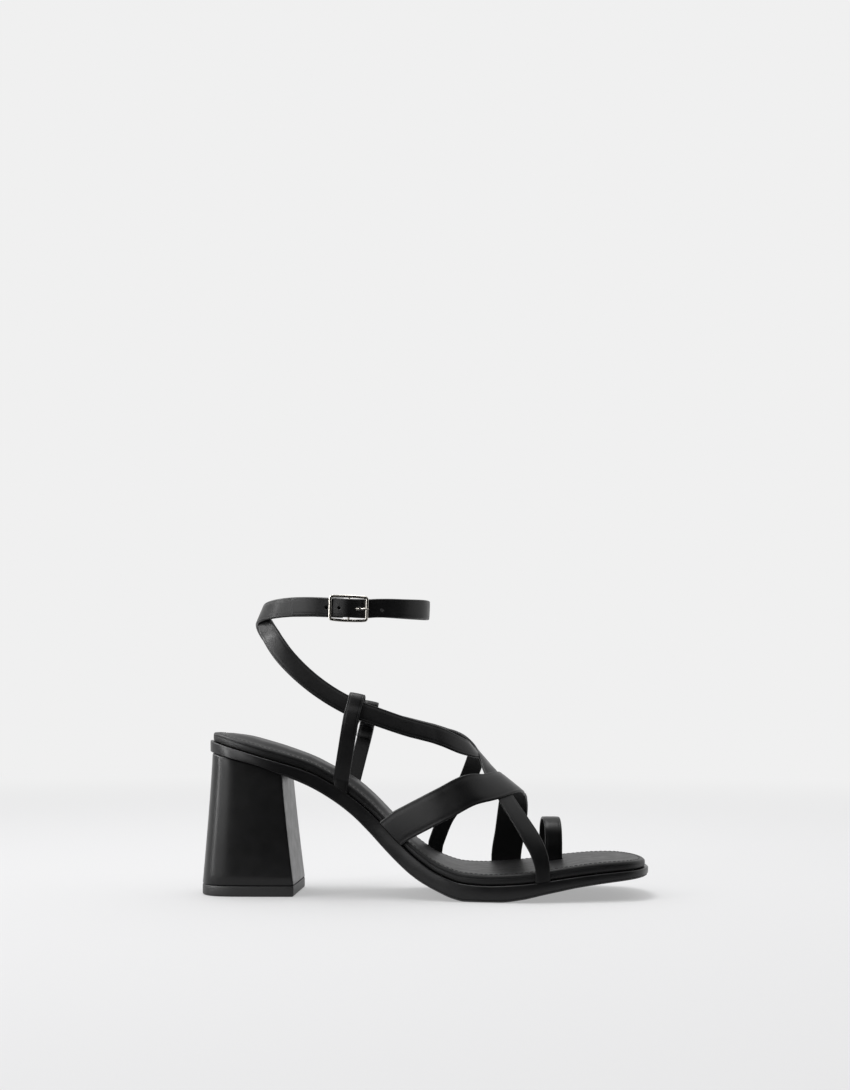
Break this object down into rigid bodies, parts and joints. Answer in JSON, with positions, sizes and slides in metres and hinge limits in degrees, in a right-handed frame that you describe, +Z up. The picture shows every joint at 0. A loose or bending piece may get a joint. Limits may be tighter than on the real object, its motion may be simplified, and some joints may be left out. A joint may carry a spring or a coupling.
{
  "type": "strappy heeled sandal",
  "caption": "Right women's sandal: padded insole on a platform sole and flared block heel, held by crossed straps, a toe loop and a buckled strap that wraps round the ankle.",
  "frame": {"origin": "centre of the heel top piece's face on the floor", "axes": "+X to the toe, +Y to the medial side (inner side of the foot), +Z up"},
  "size_m": [0.2384, 0.0775, 0.1615],
  "materials": {
    "upper": "satin",
    "sole_cover": "satin",
    "top_piece": "satin",
    "nickel": "polished"
  },
  "bodies": {
    "root": {"outsole": "sole_cover", "insole": "sole_cover", "heel_block": "sole_cover", "heel_top_piece": "top_piece", "upper_straps": "upper", "side_loop_lateral": "upper", "side_loop_medial": "upper", "toe_loop": "upper", "buckle_frame": "nickel", "buckle_prong": "nickel"}
  },
  "joints": []
}
